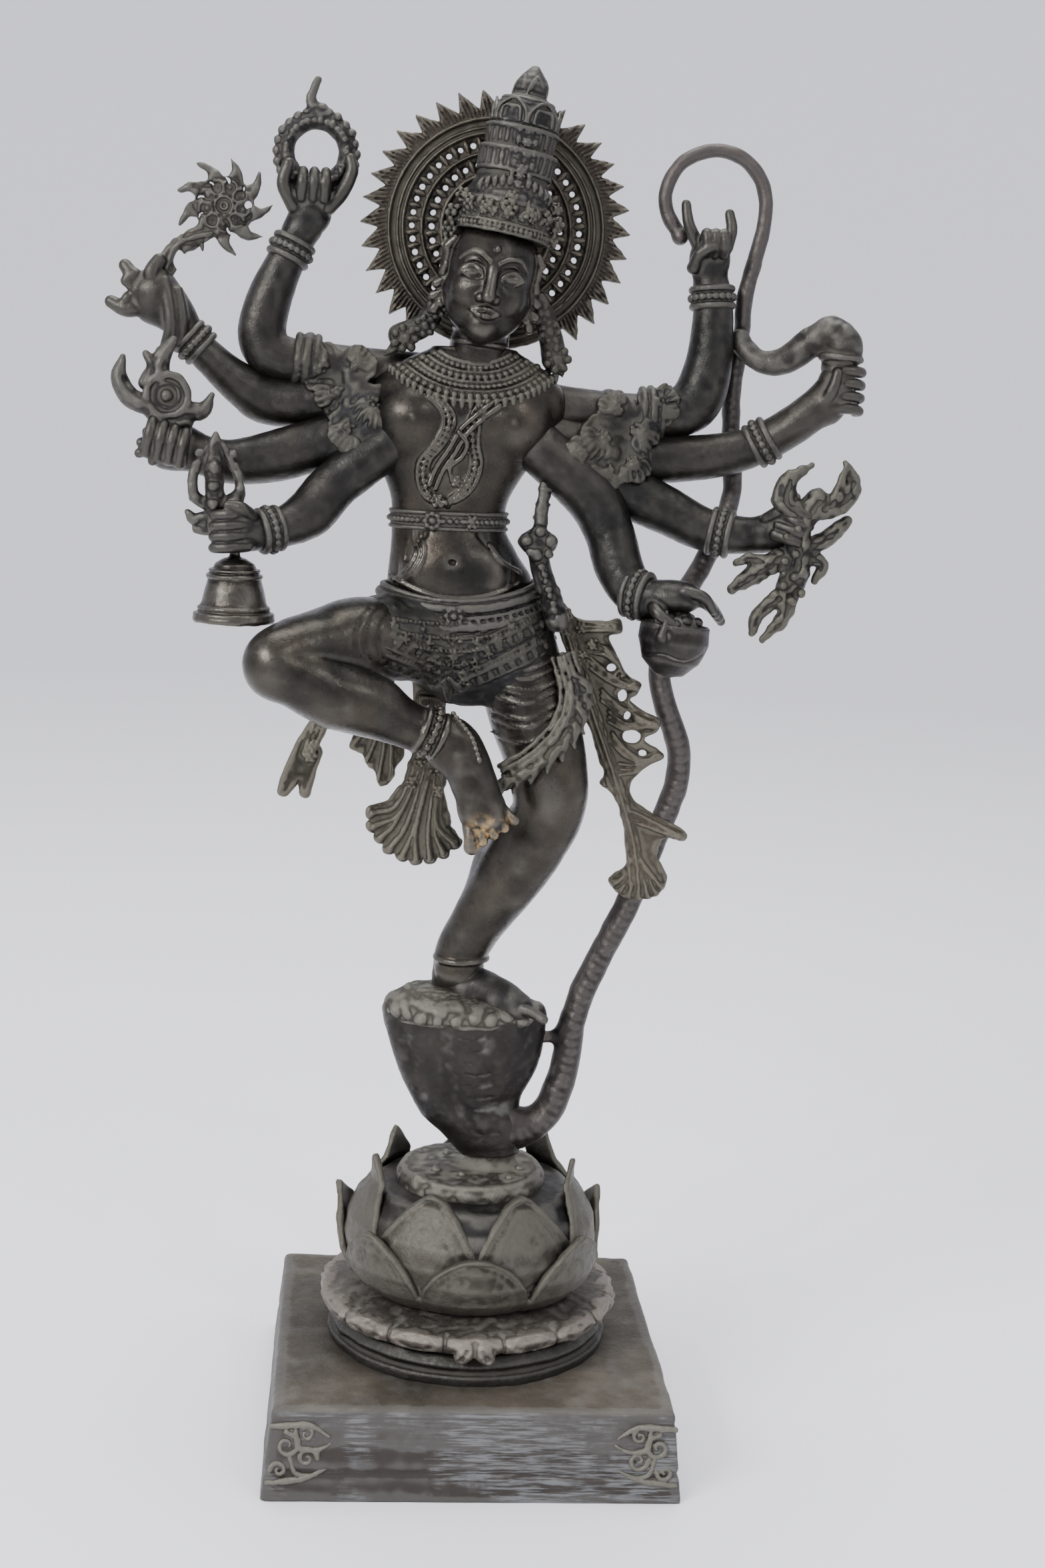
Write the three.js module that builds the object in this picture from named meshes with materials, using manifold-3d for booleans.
// Eight-armed dancing goddess in cast bronze: she stands on the hood of a naga that rises
// from a lotus on a square plinth, with a pierced halo behind the head.
// Millimetres, +Z up, the figure faces -Y. "Left" and "right" are as the viewer sees them.
// Every casting is one closed solid. Neighbours are brazed in the real object, so here each
// piece is trimmed back by GAP from the ones it meets.

import * as THREE from 'three';
import { mergeVertices } from 'three/addons/utils/BufferGeometryUtils.js';
import Module from 'manifold-3d';

const wasm = await Module();
wasm.setup();

// ---------------------------------------------------------------- driving dimensions

const GAP = 0.35;

const PLINTH = { side: 190, height: 42, inset: 4, bevel: 2, wall: 5, roof: 7 };
const PLINTH_TOP = PLINTH.height;

const LOTUS = { footRadius: 67, dishRadius: 71.5, bowlRadius: 62, podRadius: 34 };
const LOTUS_DISH = PLINTH_TOP + 13;
const LOTUS_BOWL = PLINTH_TOP + 27;
const LOTUS_POD_TOP = PLINTH_TOP + 84;
const PETALS = 7;

const WAIST = { centre: [-24, 0], low: 431, high: 437, halfWidth: 28.5, halfDepth: 19.5 };
const GIRDLE = { centre: [-17, -1], low: 390, high: 402, halfWidth: 39, halfDepth: 25 };
const COLLAR = { centre: [-14.5, -4], low: 492, high: 503, halfWidth: 26, halfDepth: 17.5 };
const CUFF = { width: 8, height: 2.2 };
const ARMLET = { width: 9, height: 2.6 };

const HOOD_BASE = 134;
const HOOD_TOP = 203;
const SMALL_SIDES = 6;
const ARM_SIDES = 8;
const LIMB_SIDES = 10;
const FIGURE_SIDES = 16;
const ROUND_SIDES = 28;

const HEAD_BASE = [-14, -6, 510];
const HEAD_LEAN = [0.165, 0, 1];
// Distances up the leaning axis of the head.
const DIADEM_BASE = 52;
const CROWN_BASE = 69;
const FINIAL_BASE = 111;

const RING = { centre: [-89, 594], y: 12, thickness: 7, hole: 9.5, valley: 18, bead: 19.5, beads: 12 };
const WHEEL = { centre: [-129, 568], y: 4, thickness: 6, points: 9, valley: 13, tip: 21 };
const WHEEL_HOLES = { ring: 8.5, radius: 1.7, count: 6 };
const DISC_CENTRE = [-151, -13, 484];
const BELL_CENTRE = [-119, -28, 386];
const HANDLE_Y = -29;
const CUP_CENTRE = [77, -27, 368];
const CUP_LEAN = [0.1, 0, 1];

const HALO = { centre: [-7, 18, 565], thickness: 5, rim: 54, tip: 61.5, teeth: 28, toothArc: 285 };
const HALO_HOLES = { ring: 41.5, radius: 1.9, count: 24, sides: 5 };

// Centre lines of the limbs as [x, y, z, radius].
const STANDING_LEG = [
  [8, -1, 380, 19], [16, -5, 352, 20], [25, -9, 326, 19], [27.5, -13, 304, 16.5],
  [19, -11, 286, 17], [9, -8, 267, 15.5], [-2, -4, 248, 13], [-10, 0, 231, 12], [-11, 1, 224, 12],
];
const STANDING_FOOT = [[-14, 3, 216, 9], [0, -4, 215, 8.5], [12, -9, 211.5, 7], [22, -13, 208.5, 5]];
const RAISED_LEG = [
  [-36, -7, 379, 19], [-68, -26, 378, 17], [-90, -40, 374, 14.5], [-98, -46, 369, 13],
  [-82, -46, 363, 14], [-60, -43, 353, 13.5], [-40, -40, 343, 10], [-30, -39, 340, 9],
];
const RAISED_FOOT = [[-20, -38, 340, 9], [-13, -39, 327, 10.5], [-6, -41, 311, 9.5], [0, -42, 297, 8]];

const LEFT_ARMS = [
  [[-46, 8, 499, 10], [-78, 9, 501, 9.5], [-103, 9, 503, 10.5], [-111, 10, 512, 11],
    [-108, 10, 530, 10], [-100, 10, 549, 8], [-95, 11, 560, 8.5], [-90, 12, 572, 9]],
  [[-52, 5, 486, 11], [-80, 8, 485, 11], [-106, 10, 484, 11.5], [-118, 9, 489, 10],
    [-131, 7, 499, 8], [-142, 6, 509, 7.5], [-150, 5, 520, 9], [-160, 4, 531, 10]],
  [[-54, -2, 474, 12], [-82, 1, 466, 12], [-104, -1, 459, 11.5], [-122, -4, 456, 10],
    [-134, -7, 458, 9.5], [-150, -9, 462, 12.5]],
  [[-58, -6, 466, 11], [-76, -9, 448, 11], [-87, -13, 435, 11], [-99, -20, 428.5, 9],
    [-108, -24, 426, 8.5], [-119, -27, 425, 10]],
];
const RIGHT_ARMS = [
  [[20, 6, 485, 11], [48, 8, 485, 10], [72, 9, 485, 10.5], [87, 10, 491, 12],
    [93, 10, 508, 10.5], [94, 10, 528, 9], [94, 11, 539, 8.5], [92, 12, 555, 10.5]],
  [[24, 4, 472, 12], [52, 6, 467, 12], [76, 7, 465.5, 11], [100, 5, 468.5, 10],
    [117, 2, 474, 9], [134, -2, 485, 9.5], [149, -4, 499, 9]],
  [[28, 0, 462, 12], [52, 1, 452, 12], [74, -2, 443, 11], [92, -6, 435, 10],
    [104, -9, 433, 9], [124, -12, 434, 10]],
  [[22, -5, 464, 12], [40, -6, 448, 12.5], [49, -9, 432, 11], [54, -14, 416, 10.5],
    [61, -20, 405, 9.5], [70, -25, 403.5, 9], [82, -29, 405, 9.5]],
];

// Naga: body rising from behind the hood, past the skull cup, to the noose.
const NAGA_LOWER = [
  [8, 0, 145, 8.5], [22, 0, 143, 8], [34, 0, 152, 7.5], [40, 0, 167, 7.2], [43, 0, 181, 6.8],
  [44.5, 0, 196, 6.4], [49, 2, 212, 6.2], [59, 4, 234, 6], [69, 5, 256, 6], [84, 5, 298, 5.8],
];
const NAGA_UPPER = [
  [84.7, 5, 300, 5.8], [89, 4, 316, 5.6], [88, 2, 333, 5.4], [81, 0, 351, 5.2],
  [77, 0, 368, 5], [80, 0, 388, 4.8], [86, 2, 402, 4.7],
];
const NAGA_TAIL = [
  [86.8, 2, 404, 4.7], [96, 10, 418, 4.6], [106, 14, 440, 4.4], [109, 18, 456, 4.3], [107, 20, 480, 4.2],
  [107, 20, 502, 4], [109, 18, 522, 3.8], [109, 15, 540, 3.8], [112, 14, 556, 3.6],
];
const NOOSE = [
  [112.4, 14, 558, 3.4], [115.5, 14, 572, 3.2], [115, 14, 588, 3.1], [107, 14, 600, 3], [93, 14, 605, 3],
  [78, 14, 600, 3], [70, 14, 588, 3], [71, 14, 577, 3], [78, 13.5, 567, 3],
];

// ---------------------------------------------------------------- solids

function solid(geometry) {
  const bare = geometry.clone();
  bare.deleteAttribute('normal');
  bare.deleteAttribute('uv');
  const merged = mergeVertices(bare, 1e-4);
  return new wasm.Manifold(new wasm.Mesh({
    numProp: 3,
    vertProperties: new Float32Array(merged.attributes.position.array),
    triVerts: new Uint32Array(merged.index.array),
  }));
}

const join = (...solids) => solids.reduce((sum, next) => sum.add(next));

function bend(geometry, place) {
  const position = geometry.attributes.position;
  const point = new THREE.Vector3();
  for (let i = 0; i < position.count; i += 1) {
    point.fromBufferAttribute(position, i);
    place(point);
    position.setXYZ(i, point.x, point.y, point.z);
  }
  return geometry;
}

// A round limb: a cylinder bent along a smooth curve, with one rounding ring at each end.
// flat < 1 thins it along Y.
function limb(joints, grow = 0, sides = ARM_SIDES, flat = 1) {
  const curve = new THREE.CatmullRomCurve3(joints.map(([x, y, z]) => new THREE.Vector3(x, y, z)));
  const spans = joints.length - 1;
  const rings = spans + 1;
  const frames = curve.computeFrenetFrames(rings);
  const radiusAt = (u) => {
    const t = curve.getUtoTmapping(u) * spans;
    const span = Math.min(Math.floor(t), spans - 1);
    return THREE.MathUtils.lerp(joints[span][3], joints[span + 1][3], t - span) + grow;
  };
  const geometry = new THREE.CylinderGeometry(1, 1, 1, sides, rings + 2);
  bend(geometry, (point) => {
    const level = Math.round((0.5 - point.y) * (rings + 2)) - 1;
    const ring = THREE.MathUtils.clamp(level, 0, rings);
    const radius = radiusAt(ring / rings);
    const beyond = level - ring;
    const narrow = beyond === 0 ? 1 : 0.6;
    const { x: across, z: along } = point;
    point.copy(curve.getPointAt(ring / rings));
    point.addScaledVector(frames.tangents[ring], beyond * 0.6 * radius);
    point.addScaledVector(frames.normals[ring], across * radius * narrow);
    point.addScaledVector(frames.binormals[ring], along * radius * narrow);
    point.y = curve.getPointAt(ring / rings).y * (1 - flat) + point.y * flat;
  });
  return solid(geometry);
}

// Horizontal oval sections from the bottom up, each [z, centre x, centre y, half width, half depth].
function stack(levels, grow = 0, sides = FIGURE_SIDES) {
  const spans = levels.length - 1;
  const geometry = new THREE.CylinderGeometry(1, 1, 1, sides, spans);
  bend(geometry, (point) => {
    const index = Math.round((0.5 + point.y) * spans);
    const [z, cx, cy, halfWidth, halfDepth] = levels[index];
    const lift = index === 0 ? -grow : index === spans ? grow : 0;
    point.set(cx + point.x * (halfWidth + grow), cy - point.z * (halfDepth + grow), z + lift);
  });
  return solid(geometry);
}

// A turned piece: profile points [radius, height] about an axis through centre.
function turned(profile, centre = [0, 0, 0], axis = [0, 0, 1], sides = ROUND_SIDES) {
  const geometry = new THREE.LatheGeometry(profile.map(([r, h]) => new THREE.Vector2(r, h)), sides);
  const toAxis = new THREE.Quaternion().setFromUnitVectors(
    new THREE.Vector3(0, 1, 0), new THREE.Vector3(...axis).normalize());
  return solid(geometry.applyQuaternion(toAxis).translate(...centre));
}

// A turned profile made larger all round.
const swell = (profile, grow) => profile.map(([r, h], i) => [
  r > 0 ? r + grow : 0, h + (i < profile.length / 2 ? -grow : grow)]);

function ball(centre, radius, grow = 0, stretch = [1, 1, 1], detail = 10) {
  const geometry = new THREE.SphereGeometry(radius, detail, Math.round(detail * 0.66));
  geometry.scale(...stretch.map((s) => s + grow / radius));
  return solid(geometry.translate(...centre));
}

// A flat casting: outline points [x, z], its middle plane at y.
function plate(outline, y, thickness, grow = 0, holes = []) {
  const shape = new THREE.Shape(outline.map(([x, z]) => new THREE.Vector2(x, z)));
  for (const [x, z, radius, sides] of holes) {
    const ring = Array.from({ length: sides }, (_, i) => -i * 2 * Math.PI / sides);
    shape.holes.push(new THREE.Path(ring.map((a) => new THREE.Vector2(
      x + radius * Math.cos(a), z + radius * Math.sin(a)))));
  }
  const depth = thickness + 2 * grow;
  const geometry = new THREE.ExtrudeGeometry(shape, { depth, bevelEnabled: false });
  return solid(geometry.rotateX(Math.PI / 2).translate(0, y + depth / 2, 0));
}

const polar = (radius, degrees) => {
  const angle = THREE.MathUtils.degToRad(degrees);
  return [radius * Math.cos(angle), radius * Math.sin(angle)];
};

// ---------------------------------------------------------------- plinth and lotus

function plinthSolid() {
  const half = PLINTH.side / 2;
  const top = half - PLINTH.inset;
  const shoulder = PLINTH.height - PLINTH.bevel;
  const outside = new THREE.CylinderGeometry(1, 1, 1, 4, 2);
  const profile = [[half, 0], [top, shoulder], [top - PLINTH.bevel, PLINTH.height]];
  bend(outside, (point) => {
    const [reach, z] = profile[Math.round((0.5 + point.y) * 2)];
    const turn = Math.PI / 4;
    const x = point.x * Math.cos(turn) - point.z * Math.sin(turn);
    const y = point.x * Math.sin(turn) + point.z * Math.cos(turn);
    point.set(Math.SQRT2 * reach * x, -Math.SQRT2 * reach * y, z);
  });
  const roofZ = PLINTH.height - PLINTH.roof;
  const room = PLINTH.side - 2 * PLINTH.wall - 2 * PLINTH.inset;
  const cavity = new THREE.BoxGeometry(room, room, 2 * roofZ);
  return solid(outside).subtract(solid(cavity));
}

const footProfile = () => {
  const r = LOTUS.footRadius;
  return [[0, 0], [r, 0], [r + 0.5, 5], [r - 3, 6.5], [r - 3, 9], [r - 8, 12], [0, 12]];
};

const dishProfile = () => {
  const r = LOTUS.dishRadius;
  return [
    [0, 0], [r - 10, 0], [r - 3, 4], [r, 8.5], [r - 2, 11], [r - 14, 11.5], [r - 25, 13.5], [0, 13.5],
  ];
};

const bowlProfile = () => {
  const r = LOTUS.bowlRadius;
  return [
    [0, 0], [r - 17, 0], [r - 8, 6], [r - 3, 15], [r - 3, 28], [r - 8, 39], [r - 15, 47], [0, 47],
  ];
};

// Petals: a thin shell of revolution cut to a ring of pointed outlines.
function petalRing(shell, outline, turnDegrees) {
  const reach = 90;
  let outlines = null;
  for (let i = 0; i < PETALS; i += 1) {
    const shape = new THREE.Shape(outline.map(([x, z]) => new THREE.Vector2(x, z)));
    const geometry = new THREE.ExtrudeGeometry(shape, { depth: reach, bevelEnabled: false });
    geometry.rotateX(Math.PI / 2);
    geometry.rotateZ(THREE.MathUtils.degToRad(turnDegrees + i * 360 / PETALS));
    outlines = outlines ? outlines.add(solid(geometry)) : solid(geometry);
  }
  return turned(shell).intersect(outlines);
}

function outerPetals() {
  const r = LOTUS.bowlRadius;
  const z = LOTUS_BOWL;
  const shell = [
    [r - 7.5, z + 5], [r - 4, z + 5], [r + 0.5, z + 15], [r + 1.5, z + 28], [r + 3, z + 44],
    [r, z + 44], [r - 2.3, z + 28], [r - 2.3, z + 15], [r - 7.5, z + 5],
  ];
  const outline = [
    [-28, z + 4], [28, z + 4], [27, z + 15], [18, z + 28], [0, z + 42], [-18, z + 28], [-27, z + 15],
  ];
  return petalRing(shell, outline, 0);
}

function innerPetals() {
  const r = LOTUS.bowlRadius;
  const z = LOTUS_BOWL;
  const shell = [
    [r - 16, z + 47.6], [r - 13, z + 44], [r - 8, z + 39.5], [r - 9, z + 52], [r - 13, z + 67],
    [r - 16, z + 67], [r - 13, z + 52], [r - 16, z + 47.6],
  ];
  const outline = [
    [-26, z + 30], [26, z + 30], [21.5, z + 48], [13, z + 57], [0, z + 66], [-13, z + 57], [-21.5, z + 48],
  ];
  return petalRing(shell, outline, 180 / PETALS);
}

// The seed pod, with the boss that carries the naga.
function podSolid(grow = 0) {
  const r = LOTUS.podRadius;
  const base = LOTUS_BOWL + 47 + GAP;
  const height = LOTUS_POD_TOP - base;
  const pod = turned(
    [[0, 0], [r - 1, 0], [r, height * 0.5], [r, height - 3], [r - 3, height], [0, height]], [-1, 0, base]);
  const boss = stack([[LOTUS_POD_TOP - 2, 7, 0, 15, 12], [LOTUS_POD_TOP + 4, 8, 0, 12, 10],
    [HOOD_BASE - GAP, 8, 0, 13, 10.5]], grow);
  return pod.add(boss);
}

// ---------------------------------------------------------------- naga

const hoodLevels = [
  [HOOD_BASE, 8, 0, 15, 12], [146, 2, 0, 23, 14], [156, -6, 0, 21, 14], [165, -5, 0, 25, 15],
  [179, -5, 0, 30.5, 17], [193, -6, 0, 33.5, 19], [HOOD_TOP, -7.5, 0, 35.5, 21],
];
const capLevels = [
  [HOOD_TOP, -7.5, 0, 34, 20], [HOOD_TOP + 4, -8, 0, 35, 21], [HOOD_TOP + 9, -14, 0, 26, 16],
  [HOOD_TOP + 12, -20, 1, 13, 9],
];

// ---------------------------------------------------------------- body, dress and head

const pelvisLevels = [
  [352, -9, -2, 16, 13], [364, -13, -3, 27, 20], [380, -15, -2, 37, 23], [396, -17, -1, 36, 22],
];
const torsoLevels = [
  [396, -18, 0, 33, 20], [408, -18, 0, 33, 20], [420, -21, 0, 29, 19], [431, -24, 0, 26, 17],
  [444, -24, 0, 27, 17], [458, -23, 0, 34, 18], [470, -22, -1, 38, 20], [484, -19, -1, 40, 20],
  [496, -17, 0, 37, 17], [504, -15, 1, 28, 13.5], [508, -14, 1, 17, 12],
];

function torsoSolid(grow = 0) {
  const breasts = [[-43, -14, 481], [4, -14, 481]].map((centre) => ball(centre, 12, grow));
  return join(stack(torsoLevels, grow), ...breasts);
}

// A band that wraps the body between two heights, slightly fuller half way up.
function band({ centre, low, high, halfWidth, halfDepth }) {
  const rim = [...centre, halfWidth - 1, halfDepth - 1];
  const belly = [...centre, halfWidth, halfDepth];
  return stack([[low, ...rim], [(low + high) / 2, ...belly], [high, ...rim]]);
}

function headSolid(grow = 0) {
  const neck = stack([[506, -14, -2, 14, 13], [516, -13, -4, 13, 12.5], [528, -12, -7, 14, 14]], grow);
  return join(neck, ball([-10, -9, 544], 24, grow, [0.86, 0.98, 1.17], FIGURE_SIDES));
}

const upCrown = (distance) => HEAD_BASE.map((v, i) => {
  const lean = new THREE.Vector3(...HEAD_LEAN).normalize().toArray();
  return v + lean[i] * distance;
});

const crownPart = (profile, from) => turned(profile, upCrown(from), HEAD_LEAN, FIGURE_SIDES);

const diadem = (grow) => crownPart(
  [[0, 0], [21, 0], [23 + grow, 6], [22 + grow, 15], [17, 17], [0, 17]], DIADEM_BASE);

// A dome, two fluted tiers and a bulb, as plain turned outlines.
const crown = () => crownPart([
  [0, 0], [18.5, 0], [17.5, 6], [15.5, 9.5], [16.8, 10.5], [16.8, 18], [15.2, 20], [15.7, 27], [14.8, 29],
  [15.2, 34], [13.4, 39], [10.8, 42], [0, 42],
], CROWN_BASE + GAP);

const finial = () => crownPart(
  [[0, 0], [8.6, 0], [8.4, 4], [6.5, 8.5], [2.5, 12.5], [0, 14]], FINIAL_BASE + 2 * GAP);

function haloSolid() {
  const [cx, y, cz] = HALO.centre;
  const step = HALO.toothArc / HALO.teeth;
  const start = 90 - HALO.toothArc / 2;
  const outline = [];
  for (let i = 0; i < HALO.teeth; i += 1) {
    const side = i < HALO.teeth / 2 ? 0.25 : 0.75;
    outline.push(polar(HALO.rim, start + i * step), polar(HALO.tip, start + (i + side) * step));
  }
  outline.push(polar(HALO.rim, start + HALO.toothArc));
  const plain = 360 - HALO.toothArc;
  for (let i = 1; i < 6; i += 1) outline.push(polar(HALO.rim, start + HALO.toothArc + i * plain / 6));
  const holes = Array.from({ length: HALO_HOLES.count }, (_, i) => {
    const [x, z] = polar(HALO_HOLES.ring, i * 360 / HALO_HOLES.count);
    return [cx + x, cz + z, HALO_HOLES.radius, HALO_HOLES.sides];
  });
  return plate(outline.map(([x, z]) => [cx + x, cz + z]), y, HALO.thickness, 0, holes);
}

// ---------------------------------------------------------------- bracelets

// A ring round an arm, centred between two of its joints.
function cuff(arm, joint, share, { width, height }, grow = 0) {
  const from = new THREE.Vector3(...arm[joint]);
  const to = new THREE.Vector3(...arm[joint + 1]);
  const middle = from.clone().lerp(to, share);
  const radius = THREE.MathUtils.lerp(arm[joint][3], arm[joint + 1][3], share) + height + grow;
  const half = width / 2 + grow;
  const profile = [[0, -half], [radius - 1, -half], [radius, 0], [radius - 1, half], [0, half]];
  return turned(profile, middle.toArray(), to.sub(from).toArray(), LIMB_SIDES);
}

// ---------------------------------------------------------------- what the hands hold

function beadedRing(grow = 0) {
  const [cx, cz] = RING.centre;
  const outline = Array.from({ length: 2 * RING.beads }, (_, i) => {
    const [x, z] = polar((i % 2 ? RING.valley : RING.bead) + grow, i * 180 / RING.beads);
    return [cx + x, cz + z];
  });
  const horn = limb([[-88, 12, 611, 3.6], [-91, 12, 619, 2.4], [-89.5, 12, 626, 1.8]], grow, SMALL_SIDES);
  const hole = [cx, cz, RING.hole - grow, FIGURE_SIDES];
  return join(plate(outline, RING.y, RING.thickness, grow, [hole]), horn);
}

function starWheel() {
  const [cx, cz] = WHEEL.centre;
  const outline = Array.from({ length: WHEEL.points * 2 }, (_, i) => {
    const [x, z] = polar(i % 2 ? WHEEL.valley : WHEEL.tip, 12 + i * 180 / WHEEL.points);
    return [cx + x, cz + z];
  });
  const holes = Array.from({ length: WHEEL_HOLES.count }, (_, i) => {
    const [x, z] = polar(WHEEL_HOLES.ring, i * 360 / WHEEL_HOLES.count);
    return [cx + x, cz + z, WHEEL_HOLES.radius, SMALL_SIDES];
  });
  const stem = limb([[-138, 4, 556, 4.5], [-146, 4, 550, 4.5], [-157, 4, 538, 5]], 0, SMALL_SIDES, 0.8);
  return join(plate(outline, WHEEL.y, WHEEL.thickness, 0, holes), stem);
}

function hookedDisc() {
  const hub = turned([[0, -5], [8, -5], [9, 0], [8, 5], [0, 5]], DISC_CENTRE, [0, 1, 0], LIMB_SIDES);
  const hooks = [
    [[-157, -13, 481, 4.5], [-168, -13, 484, 4.2], [-173, -13, 494, 3.2], [-171, -13, 501, 1.6]],
    [[-155, -13, 490, 4.2], [-154, -13, 500, 3.8], [-149, -13, 509, 2.4]],
    [[-146, -13, 479, 4], [-138, -13, 479, 3.6], [-133, -13, 486, 1.8]],
  ];
  return join(hub, ...hooks.map((path) => limb(path, 0, SMALL_SIDES)));
}

function bellSolid(grow = 0) {
  const inside = [[0, 24], [4, 24], [8, 20], [10.5, 12], [13.5, 3], [14, 0]];
  const outside = [[18, 0], [18.2, 3], [16, 5], [13.5, 12], [11.5, 20], [8, 26], [4, 28.5], [0, 28.5]];
  const filled = [[0, -grow], ...outside.map(([r, h]) => [r > 0 ? r + grow : 0, h + grow])];
  const profile = grow > 0 ? filled : [...inside, ...outside];
  return turned(profile, BELL_CENTRE, [0, 0, 1], FIGURE_SIDES);
}

function bellHandle() {
  const flame = [[-121, 437], [-116, 447], [-120, 458], [-128.5, 469], [-137, 458], [-140, 447], [-134, 437]];
  const y = HANDLE_Y;
  const fins = limb([[-141, y, 431, 2.6], [-128, y, 434, 3.6], [-118, y, 434, 2.6]], 0, SMALL_SIDES);
  const rib = limb([[-128, y, 438, 4.5], [-129, y, 452, 4.5], [-129, y, 464, 2.4]], 0, SMALL_SIDES);
  return join(plate(flame, y, 5), fins, rib);
}

const hornPath = [
  [153, -4, 511, 7.5], [152, -4, 523, 8.6], [139, 1, 520, 7.2],
  [127, 5, 512, 6], [117, 8, 514, 5], [108, 11, 521, 4],
];

function clawTrident() {
  const shaft = [
    [140, -22, 450, 5.5], [133, -22, 436, 5], [133, -20, 418, 6.5], [127, -19, 402, 5], [120, -18, 390, 2.4],
  ];
  const leftClaw = [[134, -22, 444, 4.6], [126, -22, 449, 5.2], [128, -22, 459, 3.6], [137, -22, 466, 1.8]];
  const rightClaw = [[144, -22, 448, 5.5], [153, -22, 452, 5], [156, -22, 460, 3.6], [153, -22, 467, 1.6]];
  const lowClaw = [[131, -19, 408, 4.4], [129, -19, 396, 3.6], [121, -19, 386, 2]];
  const leaf = [[126, -20, 424, 4.5], [115, -19, 416, 4.8], [106, -18, 409, 3.2]];
  return join(...[shaft, leftClaw, rightClaw, lowClaw, leaf].map((path) => limb(path, 0, SMALL_SIDES)));
}

const skullCup = (grow = 0) => turned(
  [[0, 0], [7, 2], [13, 8], [16, 17], [15.5, 25], [0, 27]].map(
    ([r, h], i) => [r > 0 ? r + grow : 0, h + (i < 2 ? -grow : i > 3 ? grow : 0)]),
  CUP_CENTRE, CUP_LEAN, FIGURE_SIDES);

// ---------------------------------------------------------------- sashes

const RIBBON = [
  [-50, 10, 398, 5], [-66, 11, 372, 5], [-78, 11, 343, 5], [-89, 12, 320, 5.5], [-92, 12, 308, 6],
];
const LEAF_SASH = [
  [-60, 358], [-48, 352], [-40, 330], [-40, 314], [-50, 306], [-54, 313], [-61, 321], [-64, 332], [-67, 341],
];
const FAN_SASH = [
  [-38, 360], [-22, 360], [-22, 332], [-13, 303], [-13, 286], [-20, 277], [-33, 273], [-46, 279],
  [-54, 290], [-46, 306], [-37, 322],
];
const SIDE_SASH = [
  [22, 396], [38, 394], [57, 391], [55, 379], [62, 369], [68, 360], [77, 344], [80, 328], [69, 316],
  [71, 304], [92, 294], [92, 288], [81, 284], [85, 271], [74, 260], [60, 266], [65, 280], [62, 300],
  [52, 315], [41, 345], [33, 374],
];
const SWAG = [
  [30, -18, 372, 3.8], [33, -24, 356, 4], [27, -29, 341, 4], [16, -31, 329, 4], [7, -30, 321, 3.4],
];
const HIP_TASSEL = [
  [21, -8, 461, 4.2], [18, -10, 446, 3.6], [17, -12, 434, 4.6], [17, -12, 426, 8], [19, -12, 417, 5],
  [23, -13, 405, 5.4], [29, -14, 392, 6],
];
const LEFT_EARRING = [[-33, -2, 530, 5], [-39, -1, 522, 6], [-50, 0, 515, 6.5]];
const RIGHT_EARRING = [[13, -2, 533, 5], [18, -1, 520, 6], [22, 0, 508, 7]];

// ---------------------------------------------------------------- finishes

const bronze = { color: 0x3b352d, roughness: 0.52, metalness: 0.85 };
const polished = { color: 0x43362f, roughness: 0.3, metalness: 0.95 };
const verdigris = { color: 0x5b6352, roughness: 0.75, metalness: 0.45 };

// ---------------------------------------------------------------- assembly
// Each row: name, finish, shape (given how much to grow it), and the pieces it is trimmed back from.

const pieces = [];
const add = (name, finish, shape, meets = []) => pieces.push({ name, finish, shape, meets });

add('plinth', bronze, plinthSolid);
add('lotus_foot', bronze, (g) => turned(swell(footProfile(), g), [0, 0, PLINTH_TOP + GAP]));
add('lotus_dish', verdigris, (g) => turned(swell(dishProfile(), g), [0, 0, LOTUS_DISH]), ['lotus_foot']);
add('lotus_bowl', bronze, (g) => turned(swell(bowlProfile(), g), [0, 0, LOTUS_BOWL]), ['lotus_dish']);
add('lotus_outer_petals', bronze, outerPetals, ['lotus_bowl']);
add('lotus_inner_petals', bronze, innerPetals, ['lotus_bowl']);
add('lotus_pod', verdigris, podSolid);

add('naga_hood', bronze, (g) => stack(hoodLevels, g));
add('naga_hood_cap', verdigris, (g) => stack(capLevels, g), ['naga_hood']);
add('naga_lower_body', bronze, (g) => limb(NAGA_LOWER, g), ['naga_hood', 'lotus_pod']);
add('naga_upper_body', bronze, (g) => limb(NAGA_UPPER, g), ['naga_lower_body']);
add('naga_tail', bronze, (g) => limb(NAGA_TAIL, g), ['naga_upper_body']);
add('noose', bronze, (g) => limb(NOOSE, g, SMALL_SIDES), ['naga_tail', 'arm_right_1']);

add('standing_foot', bronze, (g) => limb(STANDING_FOOT, g, LIMB_SIDES), ['naga_hood_cap', 'naga_hood']);
add('standing_leg', polished, (g) => limb(STANDING_LEG, g, LIMB_SIDES),
  ['standing_foot', 'pelvis', 'naga_hood_cap']);
add('raised_leg', polished, (g) => limb(RAISED_LEG, g, LIMB_SIDES), ['pelvis', 'torso']);
add('raised_foot', polished, (g) => limb(RAISED_FOOT, g, LIMB_SIDES), ['raised_leg', 'standing_leg']);

add('pelvis', bronze, (g) => stack(pelvisLevels, g));
add('torso', polished, torsoSolid, ['pelvis']);
add('girdle', bronze, () => band(GIRDLE), ['torso', 'pelvis', 'raised_leg', 'standing_leg']);
add('waist_band', bronze, () => band(WAIST), ['torso']);
add('necklace', bronze, () => band(COLLAR), ['torso', 'head']);
add('hip_tassel', bronze, (g) => limb(HIP_TASSEL, g, SMALL_SIDES),
  ['torso', 'pelvis', 'girdle', 'arm_right_4', 'standing_leg']);

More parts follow.
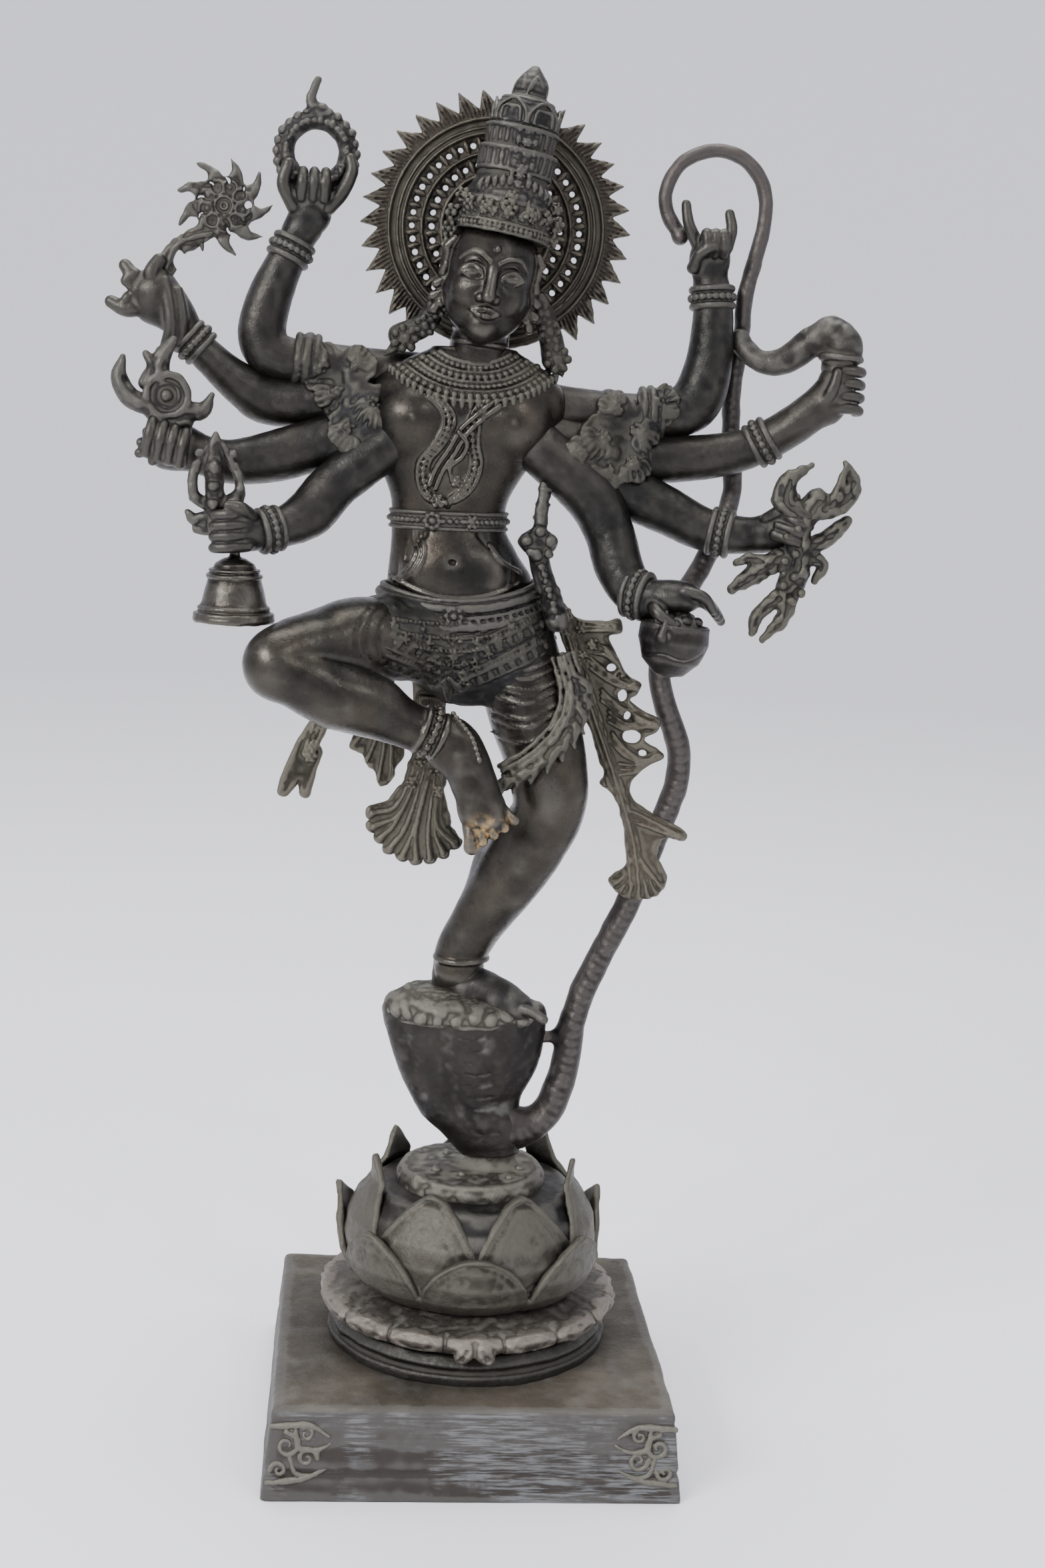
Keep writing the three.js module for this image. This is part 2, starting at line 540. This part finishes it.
add('head', polished, headSolid, ['torso']);
add('diadem', bronze, diadem, ['head']);
add('crown', bronze, crown, ['head']);
add('crown_finial', bronze, finial);
add('left_earring', bronze, (g) => limb(LEFT_EARRING, g, SMALL_SIDES), ['head', 'torso', 'arm_left_1']);
add('right_earring', bronze, (g) => limb(RIGHT_EARRING, g, SMALL_SIDES), ['head', 'torso', 'arm_right_1']);
add('halo', bronze, haloSolid,
  ['head', 'torso', 'diadem', 'left_earring', 'right_earring', 'arm_left_1', 'arm_right_1']);

const SNAKE = ['naga_tail', 'naga_upper_body'];
const armNames = (side) => [1, 2, 3, 4].map((k) => `arm_${side}_${k}`);

LEFT_ARMS.forEach((arm, i) => {
  const earlier = armNames('left').slice(0, i);
  add(`arm_left_${i + 1}`, bronze, (g) => limb(arm, g), ['torso', ...earlier]);
});
RIGHT_ARMS.forEach((arm, i) => {
  const earlier = armNames('right').slice(0, i);
  add(`arm_right_${i + 1}`, bronze, (g) => limb(arm, g), ['torso', ...SNAKE, ...earlier]);
});

const cuffs = [
  ['bracelet_left_1', LEFT_ARMS[0], 5, 0.2], ['bracelet_left_2', LEFT_ARMS[1], 4, 0.9],
  ['bracelet_left_4', LEFT_ARMS[3], 3, 0.5], ['bracelet_right_1', RIGHT_ARMS[0], 5, 0.9],
  ['bracelet_right_2', RIGHT_ARMS[1], 4, 0.1], ['bracelet_right_3', RIGHT_ARMS[2], 3, 0.7],
  ['bracelet_right_4', RIGHT_ARMS[3], 4, 0.1],
];
for (const [name, arm, joint, share] of cuffs) {
  const side = name.includes('left') ? 'left' : 'right';
  add(name, bronze, (g) => cuff(arm, joint, share, CUFF, g), [...armNames(side), ...SNAKE]);
}
add('armlet_left', bronze, (g) => cuff(LEFT_ARMS[0], 1, 0.5, ARMLET, g), armNames('left'));
add('armlet_right', bronze, (g) => cuff(RIGHT_ARMS[0], 1, 0.8, ARMLET, g), armNames('right'));

add('beaded_ring', bronze, beadedRing, ['arm_left_1']);
add('star_wheel', bronze, starWheel, ['arm_left_2']);
add('hooked_disc', bronze, hookedDisc, ['arm_left_3', 'arm_left_2', 'bracelet_left_2']);
add('bell', bronze, bellSolid, ['arm_left_4']);
add('bell_handle', bronze, bellHandle, ['arm_left_4', 'arm_left_3']);
add('horn', bronze, () => limb(hornPath), ['arm_right_2', 'naga_tail']);
add('claw_trident', bronze, clawTrident, ['arm_right_3', 'arm_right_2']);
add('skull_cup', bronze, skullCup, ['arm_right_4', 'naga_upper_body']);

const SKIRT_AND_LEGS = ['pelvis', 'girdle', 'standing_leg', 'raised_leg', 'raised_foot'];
add('swag', bronze, (g) => limb(SWAG, g, SMALL_SIDES), [...SKIRT_AND_LEGS, 'hip_tassel']);
add('side_sash', verdigris, () => plate(SIDE_SASH, -3, 6),
  [...SKIRT_AND_LEGS, 'naga_lower_body', 'naga_upper_body', 'hip_tassel', 'swag', 'torso']);
add('fan_sash', verdigris, () => plate(FAN_SASH, 2, 6), SKIRT_AND_LEGS);
add('leaf_sash', verdigris, () => plate(LEAF_SASH, 12, 5), [...SKIRT_AND_LEGS, 'fan_sash']);
add('ribbon', verdigris, (g) => limb(RIBBON, g, SMALL_SIDES, 0.6), [...SKIRT_AND_LEGS, 'torso', 'leaf_sash']);

const grown = new Map();
function clearance(name) {
  if (!grown.has(name)) grown.set(name, pieces.find((piece) => piece.name === name).shape(GAP));
  return grown.get(name);
}

function meshOf(name, finish, body) {
  const { vertProperties, triVerts } = body.getMesh();
  const geometry = new THREE.BufferGeometry();
  geometry.setAttribute('position', new THREE.BufferAttribute(new Float32Array(vertProperties), 3));
  geometry.setIndex(new THREE.BufferAttribute(new Uint32Array(triVerts), 1));
  geometry.computeVertexNormals();
  const mesh = new THREE.Mesh(geometry, new THREE.MeshStandardMaterial(finish));
  mesh.name = name;
  return mesh;
}

const statue = new THREE.Group();
for (const { name, finish, shape, meets } of pieces) {
  const body = meets.reduce((rest, other) => rest.subtract(clearance(other)), shape(0));
  statue.add(meshOf(name, finish, body));
}

// The origin is the middle of the whole object's footprint, on the surface it stands on.
const box = new THREE.Box3().setFromObject(statue);
statue.position.set(-(box.min.x + box.max.x) / 2, -(box.min.y + box.max.y) / 2, -box.min.z);

const group = new THREE.Group();
group.add(statue);

export default group;
